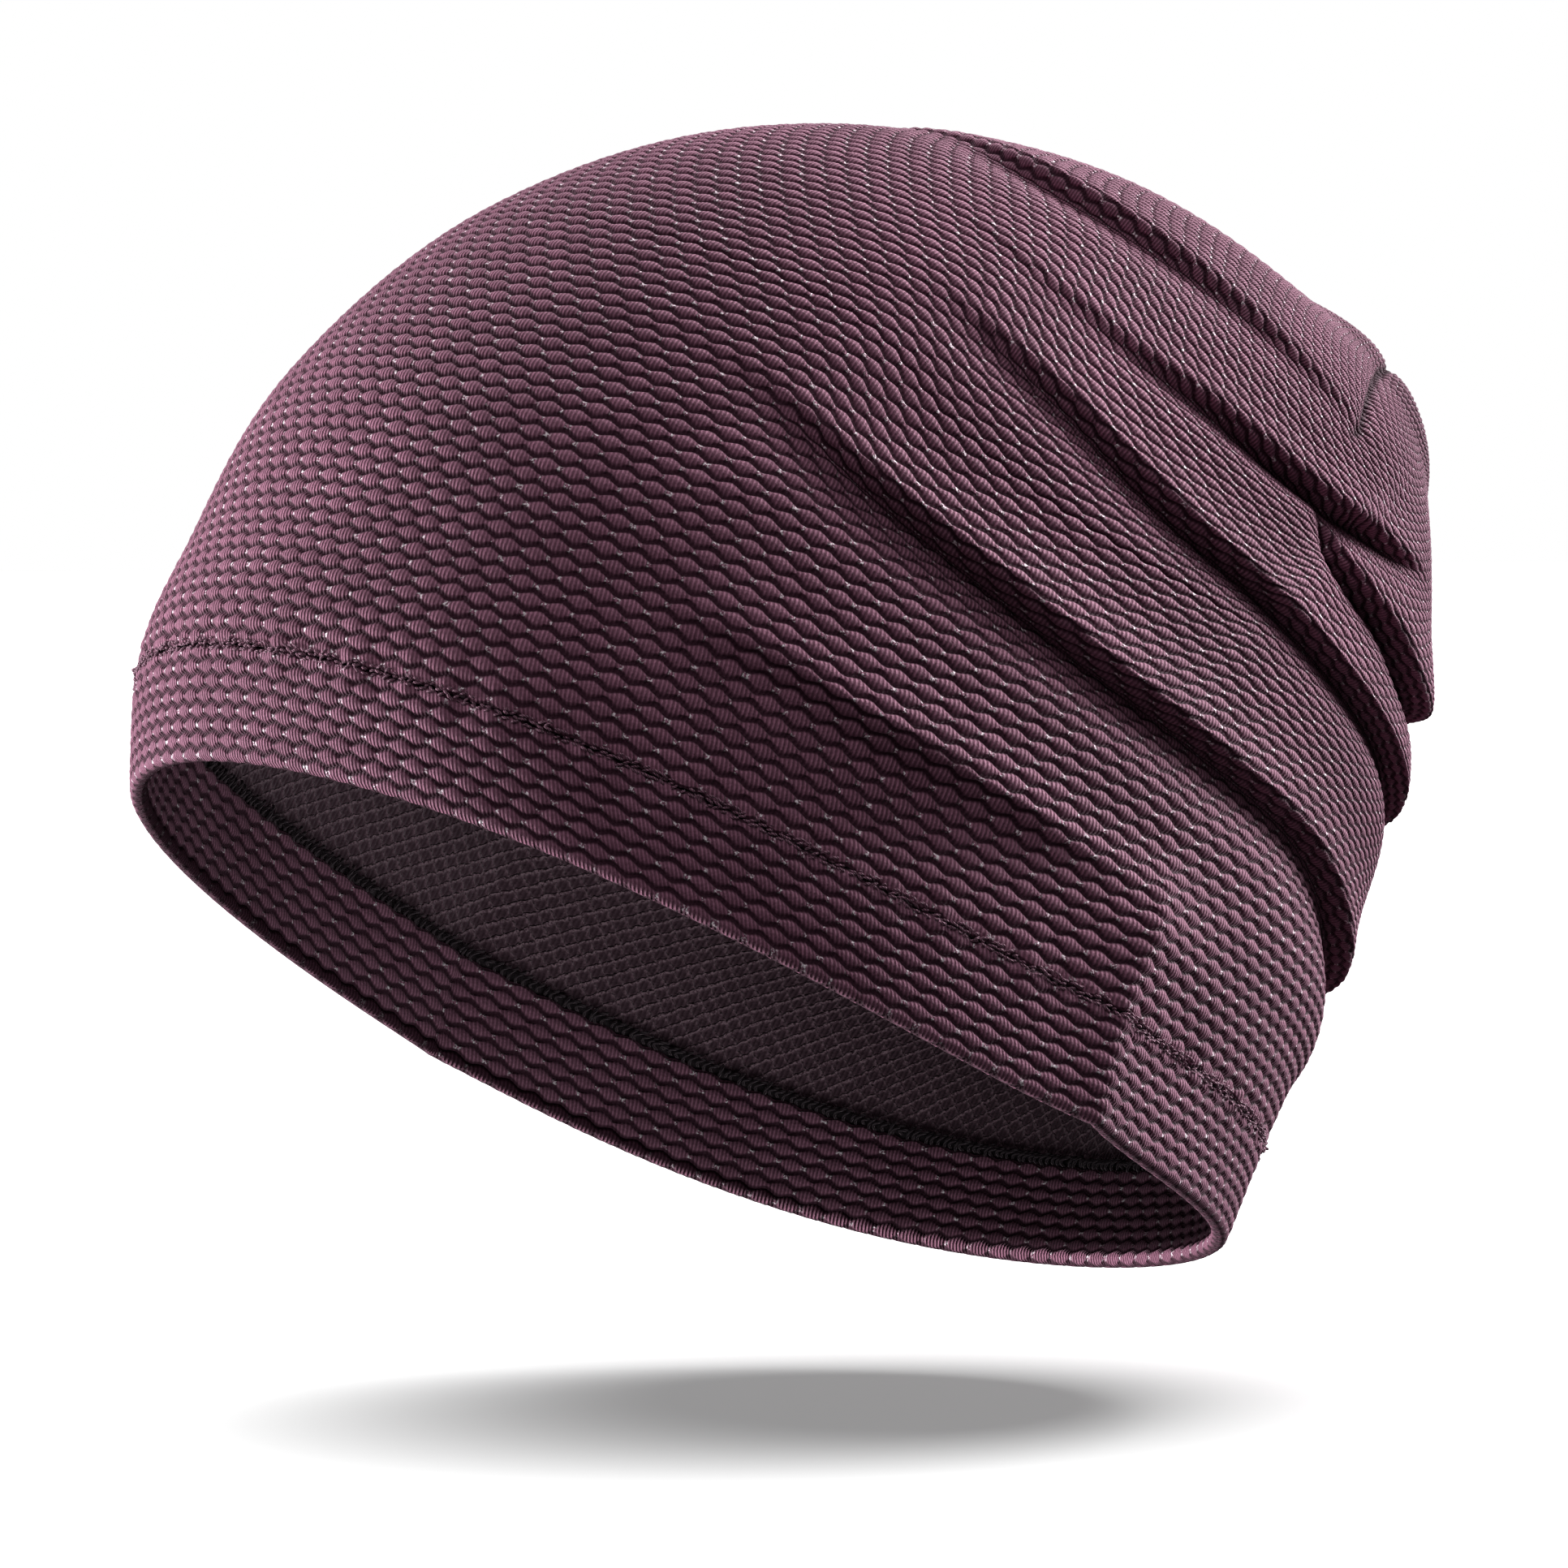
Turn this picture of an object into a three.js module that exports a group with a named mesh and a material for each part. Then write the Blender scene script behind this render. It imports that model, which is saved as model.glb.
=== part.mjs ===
import * as THREE from 'three';

// Slouch running cap in stretch waffle knit, in the shape it has on a head.
// Millimetres, +Z up, front towards -Y, wearer's left towards +X.
// The origin is the point under the crown where the top of the head touches.

// Driving dimensions
const RIM_CENTRE = [0, -25, -139.5];
const RIM_TILT_DEG = 26.3;
const COLUMNS_AROUND = 60;
const FIRST_COLUMN_DEG = 4;
const CLOTH = 1.4;
const HEM_HEIGHT = 17.5;
const HEM_THICKNESS = 2.7;
const FOLD_EDGE_RADIUS = 1.35;
const GAP = 0.3;
const OVERLOCK_WIDTH = 4;
const OVERLOCK_THICKNESS = 1.5;
const THREAD_WIDTH = 1.1;
const THREAD_HEIGHT = 0.4;
const SEAM_START = 42;
const SEAM_DEPTH = 1.3;

// Sections from the rim (s = 0) to the tip (s = 1), about the rim centre.
// Each is an oval through a front point and a back point, moved sideways by shift.
const SECTIONS = table(
  ['s', 'frontY', 'frontZ', 'backY', 'backZ', 'halfWidth', 'shift'],
  [
    [0.00, -87.8, 43.4, 87.8, -43.4, 79.5, 0],
    [0.07, -87.2, 60.5, 94.4, -33.6, 79.0, 0],
    [0.20, -77.2, 81.0, 102.2, -20.8, 79.2, 0],
    [0.35, -59.8, 105.8, 108.5, -14.5, 77.7, 0],
    [0.50, -26.7, 128.8, 115.9, -0.3, 73.0, 0],
    [0.65, 17.0, 140.6, 122.9, 14.1, 64.7, 1],
    [0.80, 69.6, 136.6, 130.0, 36.9, 50.5, 4],
    [0.92, 105.6, 119.0, 132.6, 67.6, 29.5, 10],
    [0.97, 120.4, 111.6, 134.2, 82.5, 18.0, 13],
    [1.00, 128.8, 102.0, 131.4, 97.2, 3.0, 15],
  ],
);

// Lift of the rim edge around the head, as waves of n to the turn
const RIM_WAVES = table(
  ['n', 'cos', 'sin'],
  [
    [1, 0.46, 0.44],
    [2, 1.70, -1.28],
    [3, -0.46, 0.84],
  ],
);
const RIM_DROP = 1.7;
const RIM_WAVE_SHARE = 0.25;
const RIM_EGG = 0.02;

// Folds: deg is the angle around the head, 0 at the front and 90 at the wearer's left,
// up is the distance of the valley line from the rim, and size is the share of the full fold
const MAIN_FOLD = {
  width: 3.4, depth: 5.0, ridge: 2.0, over: 2.8, reach: 12,
  path: table(['deg', 'up', 'size'], [
    [0, 92, 0], [30, 84, 0], [44, 78, 0.1], [58, 72, 0.6], [83, 65, 1], [115, 59, 1.1],
    [139, 50, 1.1], [180, 48, 0.8], [225, 54, 0.8], [262, 66, 0.9], [300, 80, 0.3], [330, 89, 0],
  ]),
};
const MIDDLE_FOLD = {
  width: 3.0, depth: 3.8, ridge: 1.1, over: 2.2, reach: 10,
  path: table(['deg', 'up', 'size'], [
    [0, 127, 0], [30, 117, 0], [50, 108, 0.1], [63, 103, 0.6], [81, 95, 1], [94, 92, 1],
    [121, 84, 0.9], [150, 75, 0.7], [180, 73, 0.6], [225, 82, 0.7], [262, 96, 0.8], [300, 112, 0.2],
    [330, 123, 0],
  ]),
};
const UPPER_FOLD = {
  width: 3.0, depth: 3.8, ridge: 0.9, over: 2.2, reach: 10,
  path: table(['deg', 'up', 'size'], [
    [0, 150, 0], [30, 139, 0], [50, 129, 0.1], [64, 127, 0.5], [85, 123, 0.9], [95, 118, 1.3],
    [106, 109, 1.5], [118, 103, 1.4], [150, 95, 0.9], [180, 94, 0.7], [225, 106, 0.8], [262, 121, 0.8],
    [300, 138, 0.2], [330, 148, 0],
  ]),
};
const TOP_FOLD = {
  width: 4, depth: 2.2, ridge: 1.6, over: 0.8, reach: 9,
  path: table(['deg', 'up', 'size'], [
    [0, 180, 0.1], [16, 178, 0.4], [28, 174, 1], [46, 169, 1], [62, 163, 0.6], [84, 150, 0.1],
    [106, 132, 0], [150, 119, 0], [180, 118, 0], [225, 130, 0], [262, 150, 0.2], [300, 166, 0.7],
    [330, 177, 0.5],
  ]),
};
const TEMPLE_DIMPLE = {
  width: 5.5, depth: 1.6, ridge: 1.5, over: 0, reach: 14,
  path: table(['deg', 'up', 'size'], [
    [0, 40, 0], [46, 38, 0], [56, 37, 0.7], [66, 35, 1], [80, 34, 0.7], [94, 33, 0.2], [106, 33, 0],
    [180, 30, 0], [250, 33, 0], [280, 35, 0.7], [305, 37, 0.4], [325, 40, 0],
  ]),
};
const FOLDS = [TEMPLE_DIMPLE, MAIN_FOLD, MIDDLE_FOLD, UPPER_FOLD, TOP_FOLD];

// Upright creases at both sides, left by folding the cap flat
const CREASES = table(['deg', 'height', 'width', 'top'], [
  [100, 2.2, 9, 44],
  [262, 1.6, 10, 46],
]);
const CREASE_RADIUS = 80;
const SEAM_DEGREES = [82, 172, 262, 352];

// Rings of the crown: shares of the way from the hem to the first ring of the main fold,
// distances above or below the fold lines, and shares of the way from there to the tip
const LOW_RINGS = [0, 0.12, 0.28, 0.45, 0.63, 0.82];
const RING_PLAN = [
  { from: MAIN_FOLD, at: [-7, -3.2, -1, 1.2, 3.2, 6, 11] },
  { from: MIDDLE_FOLD, at: [-8, -3, -0.8, 1.2, 3.2, 6] },
  { from: UPPER_FOLD, at: [-8, -3, -0.8, 1.2, 3.2, 6.5, 13] },
  { from: TOP_FOLD, at: [-9, -4, -1.2, 1.6, 4.4, 10] },
];
const TIP_RINGS = [0.15, 0.31, 0.47, 0.62, 0.75, 0.86, 0.94, 1];

function table(columns, rows) {
  return rows.map((row) => Object.fromEntries(columns.map((name, i) => [name, row[i]])));
}

// Smooth curve through a table's column
function curve(rows, key, value, x) {
  const last = rows.length - 1;
  let i = 0;
  while (i < last - 1 && x > rows[i + 1][key]) i += 1;
  const slope = (k) => {
    const step = (n) => (rows[n + 1][value] - rows[n][value]) / (rows[n + 1][key] - rows[n][key]);
    if (k === 0) return step(0);
    if (k === last) return step(last - 1);
    const before = rows[k][key] - rows[k - 1][key];
    const after = rows[k + 1][key] - rows[k][key];
    return (step(k - 1) * after + step(k) * before) / (before + after);
  };
  const width = rows[i + 1][key] - rows[i][key];
  const u = Math.min(1, Math.max(0, (x - rows[i][key]) / width));
  const a = rows[i][value];
  const b = rows[i + 1][value];
  const rise = (u ** 3 - 2 * u * u + u) * width * slope(i) + (u ** 3 - u * u) * width * slope(i + 1);
  return a + (b - a) * (3 * u * u - 2 * u ** 3) + rise;
}

// The same around the head, where the table closes on itself
function around(rows, value, deg) {
  const x = ((deg % 360) + 360) % 360;
  const before = rows.slice(-2).map((row) => ({ ...row, deg: row.deg - 360 }));
  const after = rows.slice(0, 2).map((row) => ({ ...row, deg: row.deg + 360 }));
  return curve([...before, ...rows, ...after], 'deg', value, x);
}

// Point of the smooth cap, before folds
function basePoint(deg, s) {
  const t = THREE.MathUtils.degToRad(deg);
  const at = (name) => curve(SECTIONS, 's', name, s);
  const fade = Math.exp(-s / RIM_WAVE_SHARE);
  const wave = (w) => w.cos * Math.cos(w.n * t) + w.sin * Math.sin(w.n * t);
  const lift = RIM_WAVES.reduce((sum, w) => sum + wave(w), -RIM_DROP) * fade;
  const tilt = THREE.MathUtils.degToRad(RIM_TILT_DEG);
  const x = at('halfWidth') * Math.sin(t) * (1 - RIM_EGG * Math.cos(t) * fade) + at('shift');
  const y = (at('frontY') * (1 + Math.cos(t)) + at('backY') * (1 - Math.cos(t))) / 2;
  const z = (at('frontZ') * (1 + Math.cos(t)) + at('backZ') * (1 - Math.cos(t))) / 2;
  const point = new THREE.Vector3(x, y + lift * Math.sin(tilt), z + lift * Math.cos(tilt));
  return point.add(new THREE.Vector3(...RIM_CENTRE));
}

// Length along the cap from the rim to the tip at one angle
const MERIDIAN_STEPS = 240;
const meridians = new Map();
function meridian(deg) {
  const key = deg.toFixed(4);
  if (!meridians.has(key)) {
    const lengths = [0];
    let previous = basePoint(deg, 0);
    for (let i = 1; i <= MERIDIAN_STEPS; i += 1) {
      const next = basePoint(deg, i / MERIDIAN_STEPS);
      lengths.push(lengths[i - 1] + next.distanceTo(previous));
      previous = next;
    }
    meridians.set(key, lengths);
  }
  return meridians.get(key);
}

function fullLength(deg) {
  return meridian(deg)[MERIDIAN_STEPS];
}

function sectionAt(deg, up) {
  const lengths = meridian(deg);
  let i = 0;
  while (i < MERIDIAN_STEPS - 1 && up > lengths[i + 1]) i += 1;
  return Math.min(1, (i + (up - lengths[i]) / (lengths[i + 1] - lengths[i])) / MERIDIAN_STEPS);
}

// How far one fold moves the cloth outwards and down the cap
function foldShift(fold, deg, up) {
  const size = Math.max(0, around(fold.path, 'size', deg));
  const x = up - around(fold.path, 'up', deg);
  const w = fold.width;
  const valley = Math.exp(-((x / (x < 0 ? 1.9 * w : 0.75 * w)) ** 2));
  const rise = THREE.MathUtils.smoothstep(x, -0.1 * w, 1.2 * w);
  const crest = rise * Math.exp(-Math.max(0, x - 1.2 * w) / fold.reach);
  const lip = Math.exp(-(((x - 0.9 * w) / w) ** 2));
  return { out: size * (fold.ridge * crest - fold.depth * valley), down: size * fold.over * lip };
}

// Angle between two directions around the head, in radians
function angleBetween(a, b) {
  return Math.abs(THREE.MathUtils.degToRad(((a - b + 540) % 360) - 180));
}

// Point of the folded cap at an angle and a distance from the rim
function capPoint(deg, up) {
  const length = fullLength(deg);
  const s = sectionAt(deg, up);
  const point = basePoint(deg, s);
  const above = basePoint(deg, Math.min(1, s + 0.004));
  const along = above.sub(basePoint(deg, Math.max(0, s - 0.004))).normalize();
  const across = basePoint(deg + 0.5, s).sub(basePoint(deg - 0.5, s));
  const normal = across.cross(along).normalize();
  const tipFade = THREE.MathUtils.smoothstep(length - up, 2, 30);
  let out = 0;
  let down = 0;
  for (const fold of FOLDS) {
    const shift = foldShift(fold, deg, up);
    out += shift.out * tipFade;
    down += shift.down * tipFade;
  }
  for (const crease of CREASES) {
    const away = angleBetween(deg, crease.deg) * CREASE_RADIUS;
    const end = 1 - THREE.MathUtils.smoothstep(up, crease.top - 16, crease.top);
    out += crease.height * Math.exp(-away / crease.width) * end;
  }
  for (const seam of SEAM_DEGREES) {
    const away = angleBetween(deg, seam) * Math.max(8, length - up);
    const start = THREE.MathUtils.smoothstep(SEAM_START - (length - up), 0, 10);
    const end = THREE.MathUtils.smoothstep(length - up, 0, 6);
    out -= SEAM_DEPTH * Math.exp(-((away / 2.5) ** 2)) * start * end;
  }
  return point.addScaledVector(normal, out).addScaledVector(along, -down);
}

function capNormal(deg, up) {
  const low = capPoint(deg, Math.max(0, up - 1));
  const high = capPoint(deg, Math.min(fullLength(deg), up + 1));
  const beside = (turn) => capPoint(deg + turn, Math.min(up, fullLength(deg + turn)));
  const across = beside(1.5).sub(beside(-1.5));
  return across.cross(high.sub(low)).normalize();
}

function offsetPoint(deg, up, offset) {
  return capPoint(deg, up).addScaledVector(capNormal(deg, up), offset);
}

const COLUMN_STEP = 360 / COLUMNS_AROUND;
const columns = Array.from({ length: COLUMNS_AROUND }, (_, i) => FIRST_COLUMN_DEG + COLUMN_STEP * i);

// Closed body of rings joined in order, ended by a point at each end or else joined in a loop
function joinRings(name, rings, material, apexes) {
  const points = rings.flat();
  const faces = [];
  const count = COLUMNS_AROUND;
  const pairs = apexes ? rings.length - 1 : rings.length;
  for (let r = 0; r < pairs; r += 1) {
    const low = r * count;
    const high = ((r + 1) % rings.length) * count;
    for (let i = 0; i < count; i += 1) {
      const next = (i + 1) % count;
      faces.push(low + i, low + next, high + next, low + i, high + next, high + i);
    }
  }
  if (apexes) {
    const [bottom, top] = [points.length, points.length + 1];
    points.push(...apexes);
    const last = (rings.length - 1) * count;
    for (let i = 0; i < count; i += 1) {
      const next = (i + 1) % count;
      faces.push(bottom, next, i, top, last + i, last + next);
    }
  }
  const geometry = new THREE.BufferGeometry();
  const numbers = points.flatMap((p) => [p.x, p.y, p.z]);
  geometry.setAttribute('position', new THREE.Float32BufferAttribute(numbers, 3));
  geometry.setIndex(faces);
  geometry.computeVertexNormals();
  const mesh = new THREE.Mesh(geometry, material);
  mesh.name = name;
  return mesh;
}

// A band whose section is a list of [up, offset] corners, outer face going up first
function band(name, corners, material) {
  const rings = corners.map(([up, offset]) => columns.map((deg) => offsetPoint(deg, up, offset)));
  return joinRings(name, rings, material, null);
}

// Heights of the crown's rings at one angle
function ringHeights(deg) {
  const folds = RING_PLAN.flatMap((step) => step.at.map((x) => around(step.from.path, 'up', deg) + x));
  const bottom = HEM_HEIGHT + GAP;
  const top = folds[folds.length - 1];
  const low = LOW_RINGS.map((share) => bottom + (folds[0] - bottom) * share);
  return [...low, ...folds, ...TIP_RINGS.map((share) => top + (fullLength(deg) - top) * share)];
}

function middle(ring) {
  return ring.reduce((sum, p) => sum.add(p), new THREE.Vector3()).divideScalar(ring.length);
}

function buildCrown(material) {
  const heights = columns.map(ringHeights);
  const count = heights[0].length;
  const face = (offset) => Array.from({ length: count }, (_, r) => (
    columns.map((deg, i) => offsetPoint(deg, heights[i][r], offset))
  ));
  const outer = face(0);
  const inner = face(-CLOTH).reverse();
  const rings = [...inner, ...outer];
  return joinRings('crown', rings, material, [middle(inner[0]), middle(outer[count - 1])]);
}

function cloth(color, roughness) {
  return new THREE.MeshStandardMaterial({ color, roughness, metalness: 0 });
}

const r = FOLD_EDGE_RADIUS;
const HEM_CORNERS = [
  [r, 0], [0.5 * HEM_HEIGHT, 0.1], [HEM_HEIGHT, 0],
  [HEM_HEIGHT, -HEM_THICKNESS], [0.5 * HEM_HEIGHT, -HEM_THICKNESS], [r, -HEM_THICKNESS],
  [0.15 * r, -1.5 * r], [0.15 * r, -0.5 * r],
];
const lockFace = -CLOTH - GAP;
const lockStart = HEM_HEIGHT + GAP;
const OVERLOCK_CORNERS = [
  [lockStart, lockFace], [lockStart + OVERLOCK_WIDTH, lockFace],
  [lockStart + OVERLOCK_WIDTH, lockFace - 0.6 * OVERLOCK_THICKNESS],
  [lockStart + 0.75 * OVERLOCK_WIDTH, lockFace - OVERLOCK_THICKNESS],
  [lockStart + 0.2 * OVERLOCK_WIDTH, lockFace - OVERLOCK_THICKNESS],
  [lockStart, lockFace - 0.7 * OVERLOCK_THICKNESS],
];
const threadMiddle = HEM_HEIGHT + GAP / 2;
const THREAD_CORNERS = [
  [threadMiddle - THREAD_WIDTH / 2, GAP],
  [threadMiddle, GAP + THREAD_HEIGHT],
  [threadMiddle + THREAD_WIDTH / 2, GAP],
];

const cap = new THREE.Group();
cap.add(
  buildCrown(cloth(0x5a3346, 0.9)),
  band('hem_band', HEM_CORNERS, cloth(0x55303f, 0.9)),
  band('hem_overlock', OVERLOCK_CORNERS, cloth(0x1c1017, 0.95)),
  band('hem_topstitch', THREAD_CORNERS, cloth(0x4a2a3a, 0.7)),
);

export default cap;
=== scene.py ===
import math

import bpy
import numpy as np
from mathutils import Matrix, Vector


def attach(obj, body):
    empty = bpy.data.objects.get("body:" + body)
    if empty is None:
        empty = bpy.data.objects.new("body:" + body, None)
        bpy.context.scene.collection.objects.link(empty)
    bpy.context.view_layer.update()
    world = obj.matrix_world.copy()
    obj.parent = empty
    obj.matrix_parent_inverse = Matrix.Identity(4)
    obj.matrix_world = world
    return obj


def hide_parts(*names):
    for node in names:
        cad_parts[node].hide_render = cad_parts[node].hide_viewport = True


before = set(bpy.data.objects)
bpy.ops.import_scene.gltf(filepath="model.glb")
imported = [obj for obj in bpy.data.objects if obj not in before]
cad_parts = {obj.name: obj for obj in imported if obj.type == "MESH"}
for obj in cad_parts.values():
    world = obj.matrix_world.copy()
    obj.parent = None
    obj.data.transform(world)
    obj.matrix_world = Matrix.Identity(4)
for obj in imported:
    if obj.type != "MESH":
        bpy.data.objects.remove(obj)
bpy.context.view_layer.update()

# Slouch running cap in stretch waffle knit. Sizes are in millimetres up to make_piece.
MM = 0.001

# The cap's surface, as in the part's source. deg turns around the head from the front,
# s is the share of the way up, and up is the distance along the cloth from the rim.
RIM_CENTRE = np.array([0, -25, -139.5])
RIM_TILT_DEG = 26.3
RIM_DROP = 1.7
RIM_WAVE_SHARE = 0.25
RIM_EGG = 0.02
HEM_HEIGHT = 17.5
HEM_THICKNESS = 2.7
CLOTH = 1.4
GAP = 0.3
MERIDIAN_STEPS = 240
FOLD_GRID = 1100
NORMAL_STEP = 0.7
NORMAL_STEP_DEG = 0.9

# Dart seams, measured down from the tip
SEAM_DEGREES = (82, 172, 262, 352)
SEAM_START = 61
SEAM_BEND = 55
SEAM_SWEEP_DEG = 0.48
SEAM_DEPTH = 1.3
SEAM_WIDE = 2.5
SEAM_NARROW = 0.8
SEAM_TAKE_UP = 5
SEAM_LINE = 0.7
SEAM_FAN = 8


def table(columns, rows):
    return {name: np.array([row[i] for row in rows], float) for i, name in enumerate(columns)}


SECTIONS = table(
    ["s", "front_y", "front_z", "back_y", "back_z", "half_width", "shift"],
    [
        [0.00, -87.8, 43.4, 87.8, -43.4, 79.5, 0],
        [0.07, -87.2, 60.5, 94.4, -33.6, 79.0, 0],
        [0.20, -77.2, 81.0, 102.2, -20.8, 79.2, 0],
        [0.35, -59.8, 105.8, 108.5, -14.5, 77.7, 0],
        [0.50, -26.7, 128.8, 115.9, -0.3, 73.0, 0],
        [0.65, 17.0, 140.6, 122.9, 14.1, 64.7, 1],
        [0.80, 69.6, 136.6, 130.0, 36.9, 50.5, 4],
        [0.92, 105.6, 119.0, 132.6, 67.6, 29.5, 10],
        [0.97, 120.4, 111.6, 134.2, 82.5, 18.0, 13],
        [1.00, 128.8, 102.0, 131.4, 97.2, 3.0, 15],
    ],
)
RIM_WAVES = ((1, 0.46, 0.44), (2, 1.70, -1.28), (3, -0.46, 0.84))


def fold(width, depth, ridge, over, reach, hidden, rows):
    path = table(["deg", "up", "size"], rows)
    return {"width": width, "depth": depth, "ridge": ridge, "over": over, "reach": reach,
            "hidden": hidden, "path": path}


# A fold is a valley with a lip above it: its half width, the valley's depth, the lip's height,
# how far the lip hangs over, how far it runs out above, and the cloth that lies unseen in it
FOLDS = (
    fold(5.0, 2.2, 3.0, 0, 8, 0, [
        [0, 40, 0], [46, 38, 0], [56, 37, 0.7], [66, 35, 1], [80, 34, 0.7], [94, 33, 0.2],
        [106, 33, 0], [180, 30, 0], [250, 33, 0], [280, 35, 0.7], [305, 37, 0.4], [325, 40, 0]]),
    fold(3.0, 6.6, 3.8, 5.2, 2.3, 6, [
        [0, 95, 0], [30, 87, 0], [44, 81, 0.1], [58, 76, 0.7], [70, 72.5, 0.9], [83, 69, 0.9],
        [98, 65.5, 0.66], [115, 62.5, 0.52], [139, 54, 0.6], [180, 52, 0.7], [225, 57, 0.8],
        [262, 69, 0.9], [300, 83, 0.3], [330, 92, 0]]),
    fold(2.6, 4.8, 2.9, 4.2, 2.2, 5, [
        [0, 134, 0], [30, 124, 0], [50, 115, 0.1], [63, 110, 0.6], [81, 102, 1], [94, 99, 1],
        [121, 91, 0.9], [150, 82, 0.7], [180, 80, 0.6], [225, 89, 0.7], [262, 103, 0.8],
        [300, 119, 0.2], [330, 130, 0]]),
    fold(2.6, 5.2, 2.4, 4.4, 2.4, 5, [
        [0, 155, 0], [30, 144, 0], [50, 134, 0.1], [62, 130, 0.25], [73, 130, 0.6], [84, 129.5, 0.95],
        [94, 130, 1.05], [101, 128.5, 0.6], [108, 126, 0.1], [114, 122, 0], [180, 108, 0],
        [300, 143, 0], [330, 153, 0]]),
    fold(2.6, 5.4, 2.4, 4.6, 2.4, 7, [
        [0, 155, 0], [80, 130, 0], [89, 125.5, 0], [92, 123, 0.5], [95, 121, 1.1], [101, 117, 1.3],
        [109, 113.5, 1.4], [118, 108, 1.4], [150, 100, 0.9], [180, 99, 0.7], [225, 111, 0.8],
        [262, 126, 0.8], [300, 143, 0.2], [330, 153, 0]]),
    fold(3.4, 2.1, 1.7, 1.6, 6, 3, [
        [0, 180, 0.1], [16, 178, 0.4], [28, 174, 1], [46, 169, 1], [62, 163, 0.6], [84, 150, 0.1],
        [106, 132, 0], [150, 119, 0], [180, 118, 0], [225, 130, 0], [262, 150, 0.2],
        [300, 166, 0.7], [330, 177, 0.5]]),
)
# Side creases: angle, height, width and the height at which each has run out
CREASES = ((100, 4.8, 9, 46), (262, 3.2, 9, 46))
CREASE_FADE = 16
CREASE_RADIUS = 80

# The knit: rows of beads like twisted cord, each row half a bead along from the next
BEADS_AROUND = 122
ROW = 2.3
SAMPLES_A_BEAD = 5
RINGS_A_ROW = 4
BEAD_HEIGHT = 0.7
BEAD_SINK = 0.75
ROW_WAVE = 0.17
CLOTH_LENGTH = 284
TIP_GAP = 0.6
REVERSE_TIP_GAP = 1.5
HEM_ROWS = 8
CROWN_START = HEM_HEIGHT + 0.1
COLUMNS = BEADS_AROUND * SAMPLES_A_BEAD
COLUMN_DEG = np.arange(COLUMNS) * 360 / COLUMNS
CROWN_ROWS = int(round((CLOTH_LENGTH - CROWN_START) / ROW))

# The stitching above the hem, and the overlock inside
STITCH_DIP = 0.3
STITCH_GIRTH = 540
STITCH_PITCH = 1.3
STITCH_ROWS = (-0.62, 0, 0.62)
STITCH_RADIUS = 0.2
OVERLOCK_GIRTH = 530
OVERLOCK_PITCH = 1.1
OVERLOCK_RADIUS = 0.27
THREAD_SIDES = 6


def smoothstep(x, low, high):
    t = np.clip((x - low) / (high - low), 0, 1)
    return t * t * (3 - 2 * t)


def curve(xs, ys, x):
    """Smooth curve through the points xs, ys."""
    gap = np.diff(xs)
    step = np.diff(ys) / gap
    inner = (step[:-1] * gap[1:] + step[1:] * gap[:-1]) / (gap[:-1] + gap[1:])
    slope = np.concatenate(([step[0]], inner, [step[-1]]))
    i = np.clip(np.searchsorted(xs, x) - 1, 0, len(xs) - 2)
    u = np.clip((x - xs[i]) / gap[i], 0, 1)
    rise = (u**3 - 2 * u * u + u) * gap[i] * slope[i] + (u**3 - u * u) * gap[i] * slope[i + 1]
    return ys[i] + (ys[i + 1] - ys[i]) * (3 * u * u - 2 * u**3) + rise


def around(path, name, deg):
    """Smooth curve around the head through one column of a path, which closes on itself."""
    xs = path["deg"]
    ys = path[name]
    xs = np.concatenate((xs[-2:] - 360, xs, xs[:2] + 360))
    ys = np.concatenate((ys[-2:], ys, ys[:2]))
    return curve(xs, ys, np.mod(deg, 360))


def base_points(deg, s):
    """The smooth cap, before folds."""
    deg, s = np.broadcast_arrays(deg, s)
    t = np.radians(deg)
    at = {name: curve(SECTIONS["s"], ys, s) for name, ys in SECTIONS.items() if name != "s"}
    fade = np.exp(-s / RIM_WAVE_SHARE)
    waves = sum(a * np.cos(n * t) + b * np.sin(n * t) for n, a, b in RIM_WAVES)
    lift = (waves - RIM_DROP) * fade
    tilt = math.radians(RIM_TILT_DEG)
    front = (1 + np.cos(t)) / 2
    x = at["half_width"] * np.sin(t) * (1 - RIM_EGG * np.cos(t) * fade) + at["shift"]
    y = at["front_y"] * front + at["back_y"] * (1 - front) + lift * math.sin(tilt)
    z = at["front_z"] * front + at["back_z"] * (1 - front) + lift * math.cos(tilt)
    return np.stack((x, y, z), -1) + RIM_CENTRE


def meridians(deg):
    """Length along the cap from the rim, for each column and step of s."""
    s = np.linspace(0, 1, MERIDIAN_STEPS + 1)
    points = base_points(deg[None, :], s[:, None])
    steps = np.linalg.norm(np.diff(points, axis=0), axis=2)
    return np.vstack((np.zeros(len(deg)), np.cumsum(steps, axis=0)))


def unit(v):
    return v / np.maximum(np.linalg.norm(v, axis=-1, keepdims=True), 1e-9)


def angle_between(a, b):
    return np.abs(np.radians(np.mod(a - b + 540, 360) - 180))


def seam_distance(deg, at, left):
    """Distance across the cloth from a seam, where left is the way up to the tip."""
    at = at - SEAM_SWEEP_DEG * np.maximum(0, SEAM_BEND - left)
    return angle_between(deg, at) * np.maximum(SEAM_FAN, left)


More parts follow.
